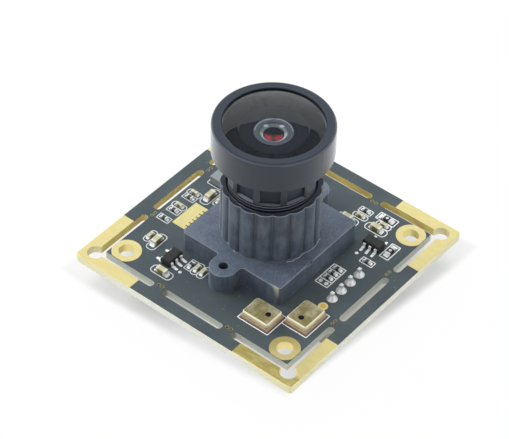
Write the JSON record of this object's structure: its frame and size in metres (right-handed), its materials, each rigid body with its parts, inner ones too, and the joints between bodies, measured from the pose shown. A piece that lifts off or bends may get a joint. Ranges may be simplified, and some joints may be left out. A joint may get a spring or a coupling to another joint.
{
  "type": "camera module",
  "caption": "Square bare-board camera with break-away frame, scalloped lens holder and a wide-angle screw-in lens that turns to focus.",
  "frame": {"origin": "middle of the mounting hole pattern, on the board's underside", "axes": "+Z along the lens, away from the board; +X and +Y along the board's sides, with the header near the +X side and the two microphones near the corner of +X and -Y"},
  "size_m": [0.038, 0.038, 0.0308],
  "materials": {
    "board": "solder mask over glass-fibre laminate, satin",
    "gold": "gold plating on copper, satin",
    "holder_plastic": "moulded, fine grain",
    "screw_steel": "zinc plated",
    "sensor_package": "moulded",
    "lens_glass": "coated and polished",
    "filter_glass": "coated and polished",
    "barrel_metal": "black anodised, satin",
    "inner_black": "black anodised, matt",
    "laminate": "bare laminate",
    "can_metal": "pale gold plating",
    "mould_compound": "moulded epoxy",
    "tin": "tin plated",
    "capacitor_ceramic": "fired ceramic",
    "resistor_black": "overglazed",
    "ferrite_grey": "fired ceramic",
    "inductor_grey": "pressed powder",
    "nylon_white": "moulded"
  },
  "bodies": {
    "module": {"circuit_board": "board", "corner_pads": "gold", "contact_pad": "gold", "test_pads": "gold", "hole_plating": "gold", "lens_holder": "holder_plastic", "holder_screws": "screw_steel", "image_sensor": "sensor_package", "sensor_glass": "filter_glass", "infrared_filter": "filter_glass", "microphone_bases": "laminate", "microphone_cans": "can_metal", "regulator_bodies": "mould_compound", "regulator_leads": "tin", "small_capacitor_bodies": "capacitor_ceramic", "small_capacitor_ends": "tin", "large_capacitor_bodies": "capacitor_ceramic", "large_capacitor_ends": "tin", "resistor_bodies": "resistor_black", "resistor_ends": "tin", "ferrite_bodies": "ferrite_grey", "ferrite_ends": "tin", "under_capacitor_bodies": "capacitor_ceramic", "under_capacitor_ends": "tin", "power_inductor": "inductor_grey", "header_housing": "nylon_white", "header_pins": "tin", "solder_joints": "tin", "image_processor": "mould_compound", "memory_body": "mould_compound", "memory_leads": "tin", "crystal": "tin"},
    "glass_stack": {"front_glass": "lens_glass", "bezel_ring": "inner_black", "second_glass": "lens_glass", "stop_plate": "inner_black", "third_glass": "lens_glass", "fourth_glass": "lens_glass", "lens_spacer": "inner_black", "rear_glass": "lens_glass"},
    "barrel": {"lens_barrel": "barrel_metal", "rear_retainer": "inner_black"}
  },
  "joints": [
    {"name": "focus_travel", "type": "slide", "parent": "module", "child": "glass_stack", "axis": [0, 0, 1], "range_m": [-0.0005, 0.001]},
    {"name": "focus_turn", "type": "hinge", "parent": "glass_stack", "child": "barrel", "pos_m": [0, 0, 0.0132], "axis": [0, 0, 1], "range_deg": [-361, 721]}
  ],
  "couplings": [
    {"joint": "focus_turn", "follows": "focus_travel", "rad_per_m": 12566}
  ]
}
